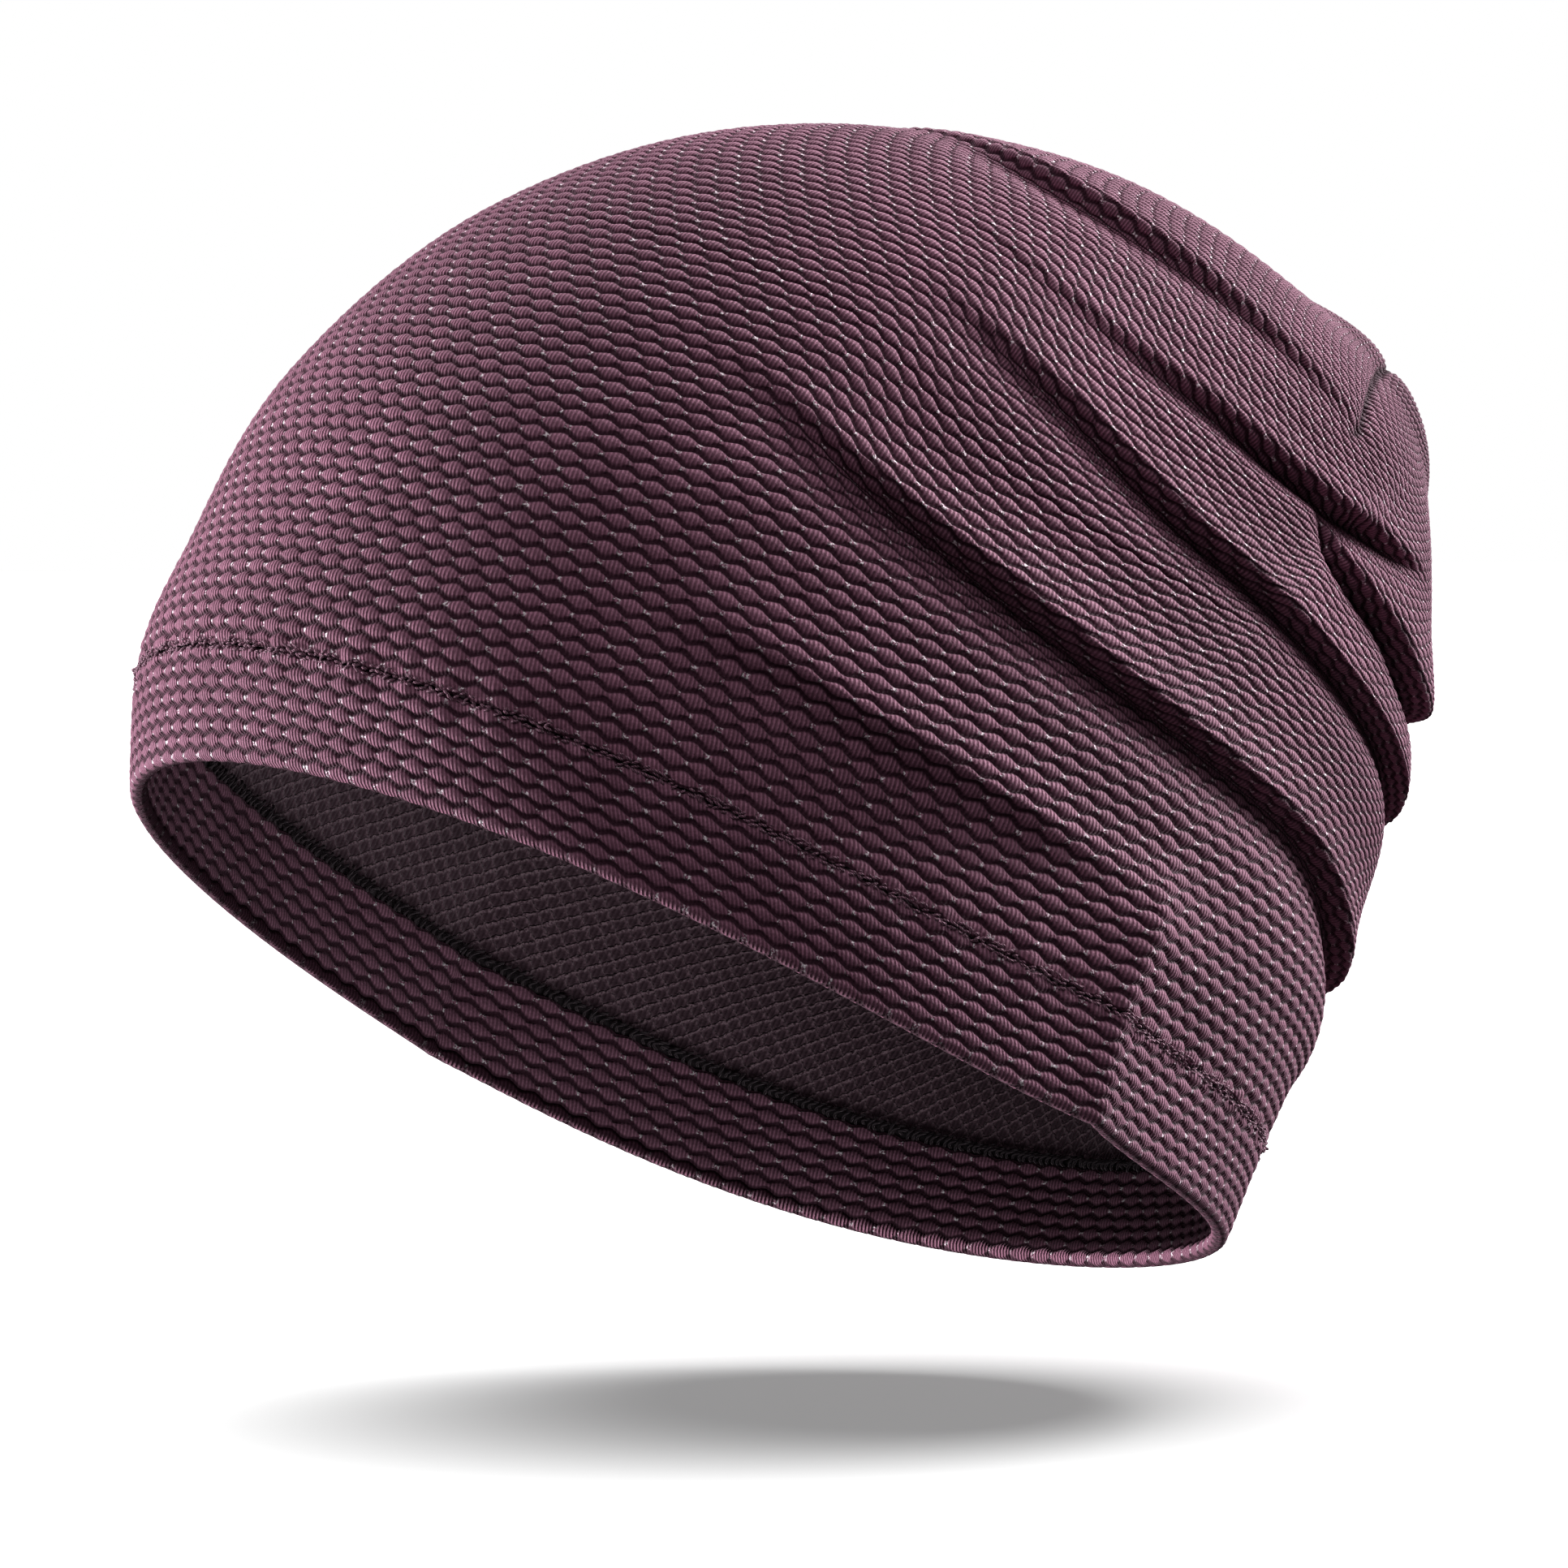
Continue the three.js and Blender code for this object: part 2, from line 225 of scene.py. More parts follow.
def cap_points(deg, up):
    """Points of the folded cap at a grid of heights, one column for each angle."""
    lengths = meridians(deg)
    shares = np.linspace(0, 1, MERIDIAN_STEPS + 1)
    s = np.stack([np.interp(up[:, i], lengths[:, i], shares) for i in range(len(deg))], 1)
    full = lengths[-1][None, :]
    turn = deg[None, :]
    point = base_points(turn, s)
    above = base_points(turn, np.minimum(1, s + 0.004))
    below = base_points(turn, np.maximum(0, s - 0.004))
    along = unit(above - below)
    across = base_points(turn + 0.5, s) - base_points(turn - 0.5, s)
    normal = unit(np.cross(across, along))
    out = np.zeros_like(up)
    down = np.zeros_like(up)
    for f in FOLDS:
        size = np.maximum(0, around(f["path"], "size", deg)) * smoothstep(full - up, 2, 30)
        x = up - around(f["path"], "up", deg)
        w = f["width"]
        valley = np.exp(-((x / np.where(x < 0, 2.4 * w, 0.75 * w)) ** 2))
        lip = x - 0.9 * w
        crest = np.exp(-np.abs(lip) / np.where(lip < 0, 0.5 * w, f["reach"]))
        out += size * (f["ridge"] * crest - f["depth"] * valley)
        down += size * f["over"] * np.exp(-((lip / w) ** 2))
    for at, height, width, top in CREASES:
        away = angle_between(turn, at) * CREASE_RADIUS
        out += height * np.exp(-away / width) * (1 - smoothstep(up, top - CREASE_FADE, top))
    for at in SEAM_DEGREES:
        away = seam_distance(turn, at, full - up)
        start = smoothstep(SEAM_START - (full - up), 0, 10)
        groove = np.exp(-((away / SEAM_WIDE) ** 2)) + np.exp(-((away / SEAM_NARROW) ** 2))
        out -= 0.5 * SEAM_DEPTH * groove * start * smoothstep(full - up, 0, 6)
    return point + normal * out[..., None] - along * down[..., None]


def surface(deg, up):
    """Points of the cap and its outward normals."""
    full = meridians(deg)[-1][None, :]
    low = cap_points(deg, np.maximum(0, up - NORMAL_STEP))
    high = cap_points(deg, np.minimum(full, up + NORMAL_STEP))
    beside = cap_points(deg + NORMAL_STEP_DEG, up) - cap_points(deg - NORMAL_STEP_DEG, up)
    return cap_points(deg, up), unit(np.cross(beside, high - low))


def knit_heights(deg, rows):
    """Distance from the rim of each length of cloth, and how open the knit is there.

    The rows lie evenly along the folded cloth, and a fold hides more of it, so the rows
    above a fold lie lower on the cap.
    """
    full = meridians(deg)[-1]
    grid = np.linspace(0, 1, FOLD_GRID)[:, None] * full[None, :]
    steps = np.linalg.norm(np.diff(cap_points(deg, grid), axis=0), axis=2)
    length = np.vstack((np.zeros(len(deg)), np.cumsum(steps, axis=0)))
    cloth = length.copy()
    for f in FOLDS:
        size = np.clip(around(f["path"], "size", deg), 0, 1.1)
        x = grid - around(f["path"], "up", deg)
        cloth += f["hidden"] * size * smoothstep(x, -0.5 * f["width"], 0.4 * f["width"])
    for at in SEAM_DEGREES:
        away = seam_distance(deg[None, :], at, full - grid)
        reach = smoothstep(SEAM_START + 8 - (full - grid), 0, 25)
        cloth += SEAM_TAKE_UP * np.exp(-away / 9) * reach
    rest = CLOTH_LENGTH - cloth[-1]
    cloth += rest * smoothstep(grid / full, 0.3, 1.0)
    up = np.empty_like(rows)
    pace = np.empty_like(rows)
    for i in range(len(deg)):
        up[:, i] = np.interp(rows[:, i], cloth[:, i], grid[:, i])
        pace[:, i] = np.interp(rows[:, i], cloth[:, i], np.gradient(length[:, i], cloth[:, i]))
    return up, pace


def grid_faces(rings, columns, inward=False):
    """Faces of rings of points joined in order, and each corner's ring and column."""
    r, c = np.meshgrid(np.arange(rings - 1), np.arange(columns), indexing="ij")
    ring = np.stack((r, r, r + 1, r + 1), -1).reshape(-1, 4)
    column = np.stack((c, c + 1, c + 1, c), -1).reshape(-1, 4)
    if inward:
        ring = ring[:, ::-1]
        column = column[:, ::-1]
    return ring * columns + column % columns, ring, column


def bead_wave(bead, row, share):
    """How far the edges of a bead bulge into the rows beside it, in rows."""
    return ROW_WAVE * (1 - 2 * share) * np.cos(2 * math.pi * (bead + 0.5 * row))


def bead_relief(bead, row, share):
    """Height of the knit's face from 0 in the grooves to 1 on a bead."""
    along = np.mod(bead + 0.5 * np.mod(row, 2), 1)
    across = np.sqrt(np.clip(1 - (2 * share - 1) ** 2, 0, 1))
    return across * (0.5 + 0.5 * np.sin(math.pi * along) ** 0.7)


def knit_grid(first_row, last_row):
    """Row numbers and shares of a row for the rings, and the bead number of each column."""
    steps = np.arange(first_row * RINGS_A_ROW, last_row * RINGS_A_ROW + 1)
    row = steps // RINGS_A_ROW
    share = (steps % RINGS_A_ROW) / RINGS_A_ROW
    bead = np.arange(COLUMNS) / SAMPLES_A_BEAD
    return row[:, None], share[:, None], bead[None, :]


# Procedural materials
class Nodes:
    """Shader nodes of one material."""

    def __init__(self, name):
        self.material = bpy.data.materials.new(name)
        self.material.use_nodes = True
        self.tree = self.material.node_tree
        self.shader = self.tree.nodes["Principled BSDF"]

    def add(self, kind, **values):
        node = self.tree.nodes.new(kind)
        for key, value in values.items():
            setattr(node, key, value)
        return node

    def link(self, source, target):
        self.tree.links.new(source, target)

    def feed(self, socket, value):
        if isinstance(value, bpy.types.NodeSocket):
            self.link(value, socket)
        else:
            socket.default_value = value

    def math(self, operation, *values):
        node = self.add("ShaderNodeMath", operation=operation)
        for socket, value in zip(node.inputs, values):
            self.feed(socket, value)
        return node.outputs[0]

    def span(self, value, low, high, start=0.0, end=1.0):
        node = self.add("ShaderNodeMapRange", interpolation_type="SMOOTHSTEP")
        for socket, v in zip(node.inputs, (value, low, high, start, end)):
            self.feed(socket, v)
        return node.outputs[0]

    def mix(self, factor, a, b, blend="MIX"):
        node = self.add("ShaderNodeMix", data_type="RGBA", blend_type=blend)
        self.feed(node.inputs["Factor"], factor)
        self.feed(node.inputs[6], a)
        self.feed(node.inputs[7], b)
        return node.outputs[2]

    def noise(self, scale, detail, vector):
        node = self.add("ShaderNodeTexNoise")
        node.inputs["Scale"].default_value = scale
        node.inputs["Detail"].default_value = detail
        self.link(vector, node.inputs["Vector"])
        return node.outputs["Fac"]

    def place(self):
        return self.add("ShaderNodeTexCoord").outputs["Object"]

    def knit_uv(self):
        node = self.add("ShaderNodeUVMap", uv_map="knit")
        split = self.add("ShaderNodeSeparateXYZ")
        self.link(node.outputs["UV"], split.inputs[0])
        return split.outputs[0], split.outputs[1]

    def value(self, name):
        return self.add("ShaderNodeAttribute", attribute_name=name).outputs["Fac"]

    def random(self, x, y):
        cell = self.add("ShaderNodeCombineXYZ")
        self.feed(cell.inputs[0], x)
        self.feed(cell.inputs[1], y)
        node = self.add("ShaderNodeTexWhiteNoise", noise_dimensions="2D")
        self.link(cell.outputs[0], node.inputs["Vector"])
        return node.outputs["Value"]

    def bump(self, height, distance):
        node = self.add("ShaderNodeBump")
        node.inputs["Strength"].default_value = 1.0
        node.inputs["Distance"].default_value = distance
        self.link(height, node.inputs["Height"])
        self.link(node.outputs["Normal"], self.shader.inputs["Normal"])

    def finish(self, color, roughness, sheen, sheen_roughness=0.4, specular=0.35, tint=(1, 0.8, 0.9, 1)):
        self.feed(self.shader.inputs["Base Color"], color)
        self.feed(self.shader.inputs["Roughness"], roughness)
        self.shader.inputs["Sheen Weight"].default_value = sheen
        self.shader.inputs["Sheen Roughness"].default_value = sheen_roughness
        self.shader.inputs["Sheen Tint"].default_value = tint
        self.shader.inputs["Specular IOR Level"].default_value = specular
        return self.material


THREAD = (0.160, 0.061, 0.096, 1)
# Lighter pink for random patches, and the painted highlight on the rib crests
PINK_TONE_AND_RIB_HIGHLIGHT = (0.58, 0.245, 0.375, 1)
# Deep plum for random dark fibres and beads, and the painted shade in the grooves between rows
DEEP_TONE_AND_GROOVE_SHADE = (0.040, 0.009, 0.021, 1)
RIBS_A_BEAD = 7


def knit_material(name, shade):
    """Face of the knit: ribbed beads, with the grooves between the rows painted dark as painted shade,
    the rib crests painted lighter as painted highlights, and painted glints at some joints.
    """
    n = Nodes(name)
    u, v = n.knit_uv()
    row = n.math("FLOOR", v)
    share = n.math("FRACT", v)
    shift = n.math("MULTIPLY", n.math("PINGPONG", row, 1.0), 0.5)
    along_all = n.math("ADD", u, shift)
    bead = n.math("FLOOR", along_all)
    along = n.math("FRACT", along_all)
    middle = n.math("ABSOLUTE", n.math("SUBTRACT", share, 0.5))
    end = n.math("ABSOLUTE", n.math("SUBTRACT", along, 0.5))
    lens = n.math("MULTIPLY_ADD", n.math("MULTIPLY", end, end), -0.72, 0.40)
    groove = n.span(n.math("SUBTRACT", middle, lens), -0.14, 0.06)
    joint = n.span(end, 0.34, 0.44)
    slant = n.math("MULTIPLY", share, 0.12)
    turns = n.math("MULTIPLY", n.math("ADD", along, slant), RIBS_A_BEAD * 2 * math.pi)
    rib = n.math("MULTIPLY_ADD", n.math("SINE", turns), 0.5, 0.5)
    fuzz = n.noise(2600, 3.0, n.place())
    patch = n.noise(26, 2.0, n.place())
    each = n.random(bead, row)

    # Painted highlight: the rib crests are painted lighter pink
    body = n.mix(n.span(rib, 0.1, 1.0, 0.0, 0.6), THREAD, PINK_TONE_AND_RIB_HIGHLIGHT)
    body = n.mix(n.math("MULTIPLY", each, 0.22), body, DEEP_TONE_AND_GROOVE_SHADE)
    body = n.mix(n.span(patch, 0.35, 0.7, 0.0, 0.18), body, PINK_TONE_AND_RIB_HIGHLIGHT)
    body = n.mix(n.span(fuzz, 0.35, 0.7, 0.0, 0.3), body, DEEP_TONE_AND_GROOVE_SHADE)
    # Painted shade: the grooves between the rows are darkened towards the deep plum
    body = n.mix(n.math("MULTIPLY", groove, 0.95), body, DEEP_TONE_AND_GROOVE_SHADE)
    # Painted glints: near-white specks at some joints between beads
    glint_chance = n.span(n.random(n.math("ADD", bead, 7.3), row), 0.3, 0.4)
    glint_spot = n.math("MULTIPLY", joint, n.span(middle, 0.30, 0.16))
    painted_glint = n.math("MULTIPLY", n.math("MULTIPLY", glint_spot, glint_chance), n.span(fuzz, 0.50, 0.58))
    body = n.mix(painted_glint, body, (1.0, 0.86, 0.93, 1))
    body = n.mix(n.math("MULTIPLY", n.value("seam"), 1.5), body, DEEP_TONE_AND_GROOVE_SHADE)
    color = n.mix(1.0, body, shade, "MULTIPLY")

    depth = n.math("MULTIPLY", rib, 0.30)
    depth = n.math("SUBTRACT", depth, n.math("MULTIPLY", groove, 0.5))
    depth = n.math("SUBTRACT", depth, n.math("MULTIPLY", joint, 0.35))
    depth = n.math("MULTIPLY_ADD", fuzz, 0.35, depth)
    n.bump(depth, 0.0005)
    return n.finish(color, n.span(rib, 0.0, 1.0, 0.85, 0.68), 0.14, 0.4, 0.22, (1, 0.62, 0.78, 1))


def reverse_material():
    """Reverse of the knit: small loops in a diamond lattice, with painted shade in the hollows between
    its lines.
    """
    n = Nodes("knit_reverse")
    u, v = n.knit_uv()
    fuzz = n.noise(2400, 3.0, n.place())
    drift = n.math("MULTIPLY_ADD", n.noise(900, 2.0, n.place()), 0.5, -0.25)
    wide = n.math("MULTIPLY_ADD", u, 1.5, drift)
    steep = n.math("MULTIPLY", v, 0.75)
    rise = n.math("FRACT", n.math("ADD", wide, steep))
    fall = n.math("FRACT", n.math("SUBTRACT", wide, steep))
    from_rise = n.math("ABSOLUTE", n.math("SUBTRACT", rise, 0.5))
    from_fall = n.math("ABSOLUTE", n.math("SUBTRACT", fall, 0.5))
    strong = n.span(from_rise, 0.05, 0.17, 1.0, 0.0)
    weak = n.span(from_fall, 0.04, 0.14, 0.5, 0.0)
    lattice = n.math("MAXIMUM", strong, weak)
    broken = n.math("MULTIPLY", lattice, n.span(fuzz, 0.42, 0.56))
    # Painted shade: the hollows between the lattice lines are darkened
    hollow_shade = n.math("MULTIPLY", n.span(from_rise, 0.12, 0.3), n.span(from_fall, 0.12, 0.3))
    loops = n.math("MULTIPLY_ADD", n.math("SINE", n.math("MULTIPLY", u, 12 * math.pi)), 0.5, 0.5)
    body = n.mix(n.math("MULTIPLY", loops, 0.5), (0.095, 0.050, 0.068, 1), (0.20, 0.12, 0.155, 1))
    body = n.mix(n.math("MULTIPLY", hollow_shade, 0.55), body, (0.030, 0.012, 0.020, 1))
    body = n.mix(n.math("MULTIPLY", broken, 0.75), body, (0.40, 0.27, 0.32, 1))
    depth = n.math("MULTIPLY_ADD", lattice, 0.9, n.math("MULTIPLY", loops, 0.3))
    depth = n.math("MULTIPLY_ADD", fuzz, 0.4, depth)
    n.bump(depth, 0.0006)
    return n.finish(body, 0.9, 0.3)


def thread_material(name, dark, light, turns):
    """Twisted sewing thread."""
    n = Nodes(name)
    u, v = n.knit_uv()
    twist = n.math("SINE", n.math("MULTIPLY", n.math("ADD", u, v), turns * 2 * math.pi))
    strand = n.math("MULTIPLY_ADD", twist, 0.5, 0.5)
    fuzz = n.noise(3000, 2.0, n.place())
    body = n.mix(strand, dark, light)
    body = n.mix(n.span(fuzz, 0.4, 0.65, 0.0, 0.4), body, dark)
    n.bump(n.math("ADD", strand, fuzz), 0.00015)
    return n.finish(body, 0.7, 0.3)


KNIT = knit_material("knit_face", (1, 1, 1, 1))
HEM_KNIT = knit_material("knit_hem", (0.96, 0.96, 0.97, 1))
# The inside of the hem is a darker copy of the knit face: painted shade inside the cap
HEM_INNER_SHADED = knit_material("knit_hem_inner_painted_shade", (0.80, 0.86, 0.84, 1))
REVERSE = reverse_material()
TOPSTITCH = thread_material("topstitch_thread", (0.10, 0.036, 0.060, 1), (0.50, 0.23, 0.34, 1), 3)
OVERLOCK = thread_material("overlock_thread", (0.009, 0.005, 0.008, 1), (0.050, 0.034, 0.042, 1), 3)


def stitch_shift(up, bead):
    """How the cloth is drawn in and puckered along the stitch line."""
    away = up - HEM_HEIGHT
    dip = -STITCH_DIP * np.exp(-((away / 1.7) ** 2)) * (1 + 0.6 * np.sin(bead * 5.3))
    pucker = 0.26 * np.sin(bead * 2.1 + 0.6) + 0.2 * np.sin(bead * 3.7 + 1.0) + 0.14 * np.sin(bead * 7.9)
    return dip + pucker * np.exp(-((away / 3.6) ** 2))


def stitch_flatten(up):
    """Share of the bead relief left beside the stitch line."""
    return 1 - 0.75 * np.exp(-(((up - HEM_HEIGHT) / 1.3) ** 2))


def make_piece(name, points, faces, uv, material):
    """Smooth mesh from points in millimetres, with the knit's (bead, row) at each corner."""
    mesh = bpy.data.meshes.new(name)
    mesh.from_pydata((points * MM).tolist(), [], faces)
    layer = mesh.uv_layers.new(name="knit")
    layer.data.foreach_set("uv", uv.astype(np.float32).ravel())
    mesh.polygons.foreach_set("use_smooth", np.ones(len(mesh.polygons), dtype=bool))
    mesh.materials.append(material)
    piece = bpy.data.objects.new(name, mesh)
    bpy.context.scene.collection.objects.link(piece)
    return piece


def build_crown():
    """Outer face of the crown, in three pieces that meet along grooves between rows."""
    row, share, bead = knit_grid(0, CROWN_ROWS)
    place = np.maximum(0, row + share + bead_wave(bead, row, share))
    cloth = np.minimum(CROWN_START + place * ROW, CLOTH_LENGTH - TIP_GAP)
    up, pace = knit_heights(COLUMN_DEG, cloth)
    point, normal = surface(COLUMN_DEG, up)
    full = meridians(COLUMN_DEG)[-1][None, :]
    open_share = np.clip(pace * 1.1, 0, 1) * smoothstep(full - up, 0, 9)
    relief = (bead_relief(bead, row, share) - BEAD_SINK) * BEAD_HEIGHT * open_share * stitch_flatten(up)
    relief = relief + stitch_shift(up, bead)
    point = point + normal * relief[..., None]
    seams = np.zeros_like(up)
    for at in SEAM_DEGREES:
        away = seam_distance(COLUMN_DEG[None, :], at, full - up)
        seams += np.exp(-((away / SEAM_LINE) ** 2)) * smoothstep(SEAM_START - (full - up), 0, 6)
    third = CROWN_ROWS // 3 * RINGS_A_ROW
    cuts = [0, third, 2 * third, len(point) - 1]
    names = ("crown_knit_low", "crown_knit_middle", "crown_knit_high")
    parts = []
    for name, first, last in zip(names, cuts, cuts[1:]):
        faces, ring, column = grid_faces(last - first + 1, COLUMNS)
        uv = np.stack((column / SAMPLES_A_BEAD, (first + ring) / RINGS_A_ROW), -1)
        points = point[first:last + 1].reshape(-1, 3)
        faces = faces.tolist()
        if last == len(point) - 1:
            i = np.arange(COLUMNS)
            top_ring = (last - first) * COLUMNS
            faces += [(top_ring + a, top_ring + (a + 1) % COLUMNS, len(points)) for a in i]
            points = np.vstack((points, point[-1].mean(axis=0)))
            tip_u = np.stack((i, i + 1, i + 0.5), 1) / SAMPLES_A_BEAD
            tip = np.stack((tip_u, np.full((COLUMNS, 3), CROWN_ROWS)), -1)
            uv = np.concatenate((uv.reshape(-1, 2), tip.reshape(-1, 2)))
        part = make_piece(name, points, faces, uv.reshape(-1, 2), KNIT)
        # 1 along the seams and at the tip, where they meet
        seam = np.ones(len(points), np.float32)
        seam[:(last - first + 1) * COLUMNS] = seams[first:last + 1].ravel()
        part.data.attributes.new("seam", "FLOAT", "POINT").data.foreach_set("value", seam)
        parts.append(part)
    return parts


def build_reverse():
    """Inner face of the crown, on the reverse of the cloth."""
    columns = BEADS_AROUND * 2
    deg = np.arange(columns) * 360 / columns
    rows = np.arange(CROWN_ROWS + 1)
    cloth = np.minimum(CROWN_START + rows * ROW, CLOTH_LENGTH - REVERSE_TIP_GAP)
    cloth = np.repeat(cloth[:, None], columns, 1)
    up, _ = knit_heights(deg, cloth)
    point, normal = surface(deg, up)
    point = point - normal * CLOTH
    faces, ring, column = grid_faces(point.shape[0], columns, inward=True)
    uv = np.stack((column / 2, ring), -1).reshape(-1, 2)
    return make_piece("crown_knit_reverse", point.reshape(-1, 3), faces.tolist(), uv, REVERSE)


def build_hem():
    """The turned hem: the knit's face inside, and outside with the round fold at the rim."""
    row, share, bead = knit_grid(-HEM_ROWS, HEM_ROWS)
    place = row + share + bead_wave(bead, row, share)
    place = np.clip(place, -HEM_ROWS, HEM_ROWS)
    girth = HEM_HEIGHT * place / HEM_ROWS
    edge = HEM_THICKNESS / 2
    turn = np.clip(girth / edge, -1, 1)
    inside = girth < 0
    up = edge * (1 - np.cos(turn * math.pi / 2)) + np.maximum(0, np.abs(girth) - edge)
    offset = edge * (np.sin(turn * math.pi / 2) - 1)
    point, normal = surface(COLUMN_DEG, np.clip(up, 0.0, HEM_HEIGHT))
    relief = (bead_relief(bead, row, share) - BEAD_SINK) * BEAD_HEIGHT
    relief = relief * (0.25 + 0.75 * smoothstep(np.abs(girth), 0.5, 3.5)) * stitch_flatten(up)
    outward = np.where(inside, -1.0, 1.0)
    near = smoothstep(np.abs(girth), 0.0, edge)
    shift = offset + relief * outward * near
    dip = stitch_shift(up, bead)
    shift = shift + np.where(inside, 0.3 * dip, dip)
    point = point + normal * shift[..., None]
    parts = []
    rim = (HEM_ROWS - 1) * RINGS_A_ROW
    halves = (("hem_knit_inside", 0, rim, HEM_INNER_SHADED), ("hem_knit", rim, len(point) - 1, HEM_KNIT))
    for name, first, last, cloth in halves:
        faces, ring, column = grid_faces(last - first + 1, COLUMNS)
        uv = np.stack((column / SAMPLES_A_BEAD, (first + ring) / RINGS_A_ROW), -1).reshape(-1, 2)
        points = point[first:last + 1].reshape(-1, 3)
        parts.append(make_piece(name, points, faces.tolist(), uv, cloth))
    return parts


def tubes(name, paths, radius, sides, material):
    """Short threads along paths, an array of (thread, point, xyz)."""
    count, steps, _ = paths.shape
    along = unit(np.gradient(paths, axis=1))
    guide = unit(paths.mean(axis=1, keepdims=True) - RIM_CENTRE)
    side = unit(np.cross(along, np.broadcast_to(guide, along.shape)))
    rise = np.cross(side, along)
    taper = np.full(steps, 1.0)
    taper[0] = taper[-1] = 0.35
    turn = np.arange(sides) * 2 * math.pi / sides
    ring = (side[:, :, None] * np.cos(turn)[None, None, :, None]
            + rise[:, :, None] * np.sin(turn)[None, None, :, None])
    point = paths[:, :, None] + ring * (radius * taper)[None, :, None, None]
    per = steps * sides
    quads = []
    corner = []
    for k in range(steps - 1):
        for j in range(sides):
            n = (j + 1) % sides
            quads.append((k * sides + j, k * sides + n, (k + 1) * sides + n, (k + 1) * sides + j))
            corner.append(((k, j), (k, j + 1), (k + 1, j + 1), (k + 1, j)))
    quads = np.array(quads)
    corner = np.array(corner, float) / [steps - 1, sides]
    faces = (np.arange(count)[:, None, None] * per + quads[None]).reshape(-1, 4)
    uv = np.tile(corner[None], (count, 1, 1, 1)).reshape(-1, 2)
    caps = []
    for i in range(count):
        caps.append(tuple(i * per + j for j in reversed(range(sides))))
        caps.append(tuple(i * per + (steps - 1) * sides + j for j in range(sides)))
    uv = np.concatenate((uv, np.zeros((count * 2 * sides, 2))))
    return make_piece(name, point.reshape(-1, 3), faces.tolist() + caps, uv, material)


def surface_at(deg, up, offset):
    """Points at scattered angles, distances from the rim and offsets, each of shape (n,)."""
    point, normal = surface(deg, up[None, :])
    return point[0] + normal[0] * offset[:, None]


def build_topstitch():
    """Three rows of small uneven loops along the line above the hem."""
    rng = np.random.default_rng(4)
    count_a_row = int(STITCH_GIRTH / STITCH_PITCH)
    count = len(STITCH_ROWS) * count_a_row
    line = np.repeat(STITCH_ROWS, count_a_row) + rng.normal(0, 0.10, count)
    centre = np.arange(count) * 360 / count_a_row + rng.normal(0, 0.12, count)
    steps = 5
    t = np.linspace(-0.5, 0.5, steps)
    slant = rng.normal(0.2, 0.45, count)
    length = rng.normal(1.15, 0.22, count)
    deg = centre[:, None] + t[None, :] * length[:, None] * 360 / STITCH_GIRTH
    up = HEM_HEIGHT + GAP / 2 + line[:, None] + t[None, :] * slant[:, None]
    dip = stitch_shift(up, deg * BEADS_AROUND / 360)
    lift = dip - 0.12 + 0.36 * np.cos(t * math.pi)[None, :] + rng.normal(0, 0.08, count)[:, None]
    paths = surface_at(deg.ravel(), up.ravel(), lift.ravel()).reshape(count, steps, 3)
    return tubes("hem_topstitch_threads", paths, STITCH_RADIUS, THREAD_SIDES, TOPSTITCH)


def build_overlock():
    """Dark looped stitching over the raw edge of the turned hem."""
    rng = np.random.default_rng(9)
    count = int(OVERLOCK_GIRTH / OVERLOCK_PITCH)
    steps = 9
    t = np.linspace(0, 1, steps)
    centre = np.arange(count) * 360 / count
    swing = rng.normal(0.9, 0.35, count)
    deg = centre[:, None] + (np.sin(t * math.pi * 1.5) * 0.45)[None, :] * swing[:, None]
    reach = rng.normal(1.0, 0.28, count)
    up = CROWN_START + 0.9 - np.cos(t * math.pi)[None, :] * reach[:, None]
    depth = -CLOTH - 0.45 - 0.9 * np.sin(t * math.pi)[None, :] - rng.uniform(0, 0.45, count)[:, None]
    loops = surface_at(deg.ravel(), up.ravel(), depth.ravel()).reshape(count, steps, 3)
    return tubes("overlock_threads", loops, OVERLOCK_RADIUS, THREAD_SIDES, OVERLOCK)


def build_overlock_bed():
    """Raw edge of the cloth under the overlock stitches."""
    rings = 9
    share = np.linspace(0, 1, rings)[:, None]
    turn = np.arange(COLUMNS)[None, :]
    wobble = 0.18 * np.sin(turn * 1.7) + 0.12 * np.sin(turn * 0.61)
    up = CROWN_START - 1.1 + share * (2.8 + wobble)
    bulge = 0.6 * np.sin(share * math.pi) ** 0.5
    ripple = 0.12 * np.sin(turn * 2.3 + share * 9)
    point, normal = surface(COLUMN_DEG, up)
    point = point + normal * (-CLOTH - 0.15 - bulge - ripple)[..., None]
    faces, ring, column = grid_faces(rings, COLUMNS, inward=True)
    uv = np.stack((column / 2, ring), -1).reshape(-1, 2)
    return make_piece("overlock_bed", point.reshape(-1, 3), faces.tolist(), uv, OVERLOCK)


# Each piece, the solid it stands for, and its material slot
pieces = (
    [(p, "crown", "crown_knit") for p in build_crown()]
    + [(build_reverse(), "crown", "crown_knit")]
    + [(p, "hem_band", "hem_knit") for p in build_hem()]
    + [(build_topstitch(), "hem_topstitch", "topstitch_thread")]
    + [(build_overlock(), "hem_overlock", "overlock_thread")]
    + [(build_overlock_bed(), "hem_overlock", "overlock_thread")]
)
for piece, node, slot in pieces:
    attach(piece, "root")
    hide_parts(node)

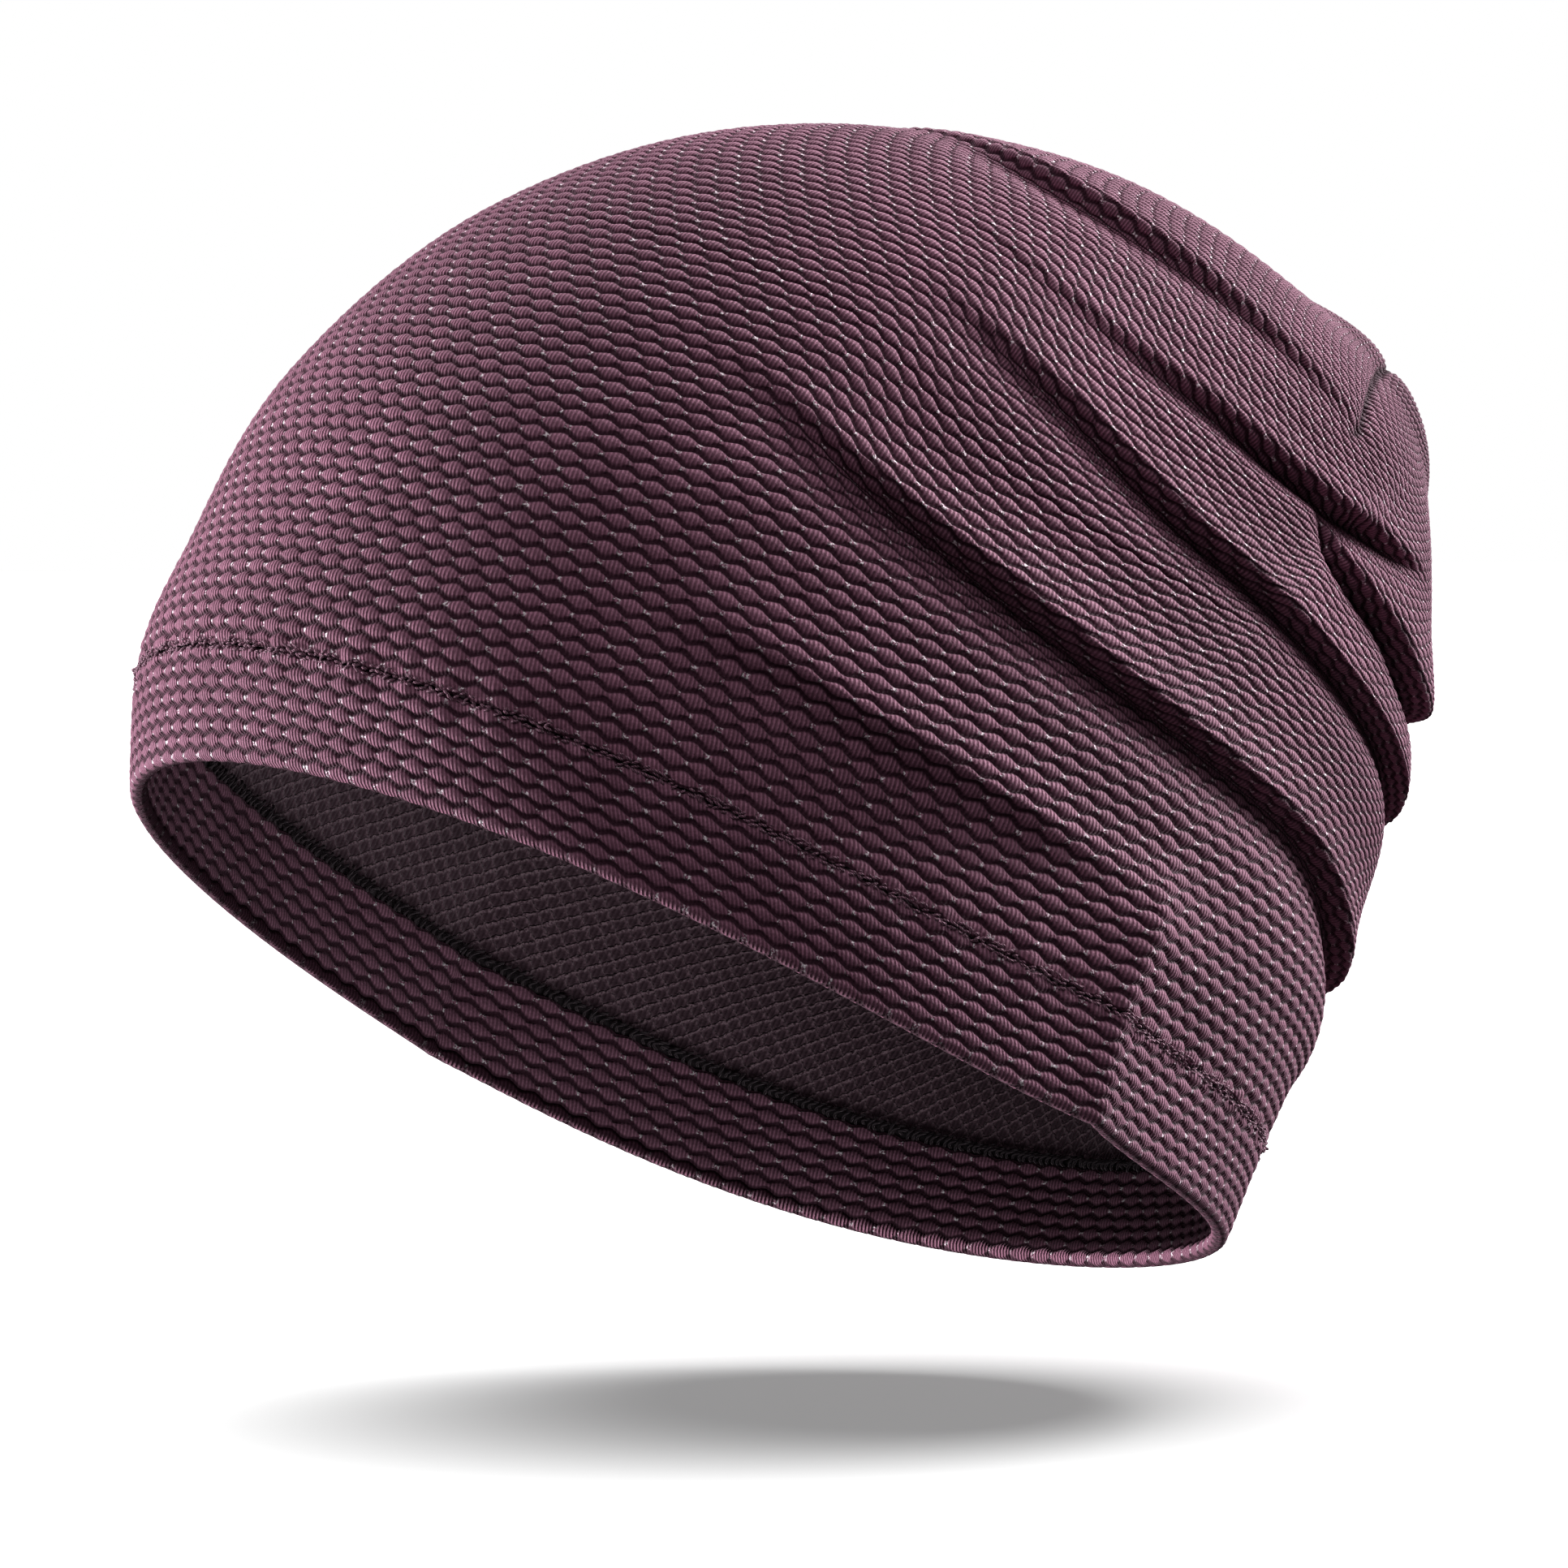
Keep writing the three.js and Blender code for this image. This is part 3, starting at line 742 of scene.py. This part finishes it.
# Studio: pale floor, soft lights and the photograph's camera
FLOOR_Z = -0.2006
FLOOR_REACH = 14.0
AZIMUTH = math.radians(52)
ELEVATION = math.radians(4)
DISTANCE = 1.150
level = math.cos(ELEVATION)
towards = Vector((math.sin(AZIMUTH) * level, -math.cos(AZIMUTH) * level, math.sin(ELEVATION)))
right = Vector((math.cos(AZIMUTH), math.sin(AZIMUTH), 0))
upward = right.cross(-towards)
rim_centre = Vector(RIM_CENTRE * MM)
INNER_PIECES = ("crown_knit_reverse", "hem_knit_inside", "overlock_threads", "overlock_bed")

# Each soft box: place as in studio_point, width and height, and power
SOFT_BOXES = (
    ("left_back", (-1.3, -0.18, -0.12), (0.5, 1.1), 41),
    ("right_back", (1.15, -0.62, 0.58), (0.6, 1.0), 39),
    ("top_back", (0.5, -0.6, 1.4), (1.4, 0.6), 28),
    ("front", (-0.05, 1.6, 1.9), (1.6, 1.6), 16),
    ("front_low", (-0.5, 1.7, -0.6), (1.2, 0.8), 1.0),
)


def paper_material():
    """Plain pale paper of the floor."""
    n = Nodes("studio_floor")
    grain = n.noise(40, 2.0, n.place())
    tone = n.mix(n.math("MULTIPLY", grain, 0.03), (0.9, 0.9, 0.9, 1), (0.8, 0.8, 0.8, 1))
    n.shader.inputs["Emission Color"].default_value = (1, 1, 1, 1)
    n.shader.inputs["Emission Strength"].default_value = 0.28
    return n.finish(tone, 0.9, 0.0)


def add_floor():
    mesh = bpy.data.meshes.new("studio_floor")
    sides = ((-1, -1), (1, -1), (1, 1), (-1, 1))
    corners = [(x * FLOOR_REACH, y * FLOOR_REACH, FLOOR_Z) for x, y in sides]
    mesh.from_pydata(corners, [], [(0, 1, 2, 3)])
    mesh.materials.append(paper_material())
    floor = bpy.data.objects.new("studio_floor", mesh)
    bpy.context.scene.collection.objects.link(floor)
    floor.visible_diffuse = False
    floor.visible_glossy = False
    return floor


def collect(name, objects):
    group = bpy.data.collections.new(name)
    for o in objects:
        group.objects.link(o)
    return group


def add_light(name, position, target, size, energy, lit):
    """Soft box that lights the cap alone, so the floor keeps one plain shadow."""
    data = bpy.data.lights.new(name, "AREA")
    data.shape = "RECTANGLE"
    data.size, data.size_y = size
    data.energy = energy
    light = bpy.data.objects.new(name, data)
    light.location = position
    light.rotation_euler = (Vector(target) - Vector(position)).to_track_quat("-Z", "Y").to_euler()
    light.light_linking.receiver_collection = lit
    light.light_linking.blocker_collection = cap_pieces
    bpy.context.scene.collection.objects.link(light)


def add_overhead():
    """Overhead light on the floor, wide enough for a soft shadow."""
    data = bpy.data.lights.new("overhead", "SUN")
    data.energy = 5.2
    data.angle = math.radians(85)
    light = bpy.data.objects.new("overhead", data)
    light.light_linking.receiver_collection = lit_by_sun
    bpy.context.scene.collection.objects.link(light)


def add_world():
    """White to the camera, and a faint even light on the cap."""
    world = bpy.data.worlds.new("studio")
    world.use_nodes = True
    tree = world.node_tree
    seen = tree.nodes["Background"]
    seen.inputs["Strength"].default_value = 1.0
    seen.inputs["Color"].default_value = (1, 1, 1, 1)
    dim = tree.nodes.new("ShaderNodeBackground")
    dim.inputs["Strength"].default_value = 0.06
    path = tree.nodes.new("ShaderNodeLightPath")
    mix = tree.nodes.new("ShaderNodeMixShader")
    tree.links.new(path.outputs["Is Camera Ray"], mix.inputs[0])
    tree.links.new(dim.outputs[0], mix.inputs[1])
    tree.links.new(seen.outputs[0], mix.inputs[2])
    tree.links.new(mix.outputs[0], tree.nodes["World Output"].inputs["Surface"])
    bpy.context.scene.world = world


def studio_point(sideways, forward, height):
    """A place given from the camera's side: to its right, towards it, and above the rim's middle."""
    flat = Vector((towards.x, towards.y, 0)).normalized()
    return rim_centre + right * sideways + flat * forward + Vector((0, 0, height))


studio_floor = add_floor()
lit_by_sun = collect("lit_by_sun", [studio_floor])
cap = [piece for piece, node, slot in pieces]
cap_pieces = collect("cap_pieces", cap)
lit_by_boxes = collect("lit_by_boxes", [piece for piece in cap if piece.name not in INNER_PIECES])
lit_inside = collect("lit_inside", [piece for piece in cap if piece.name in INNER_PIECES])
middle = studio_point(0, 0, 0.05)
for name, place, size, energy in SOFT_BOXES:
    add_light(name, studio_point(*place), middle, size, energy, lit_by_boxes)
add_light("inside", studio_point(0.1, 0.5, -0.38), rim_centre, (1.4, 0.4), 2.4, lit_inside)
add_overhead()
add_world()
bpy.context.scene.view_settings.view_transform = "Standard"

camera_data = bpy.data.cameras.new("camera")
camera_data.lens = 169.7
camera_data.sensor_width = 36
camera_data.clip_start = 0.05
camera = bpy.data.objects.new("camera", camera_data)
target = rim_centre + right * 0.0163 + upward * 0.0381
camera.location = rim_centre + towards * DISTANCE
camera.rotation_euler = (target - camera.location).to_track_quat("-Z", "Y").to_euler()
bpy.context.scene.collection.objects.link(camera)
bpy.context.scene.camera = camera
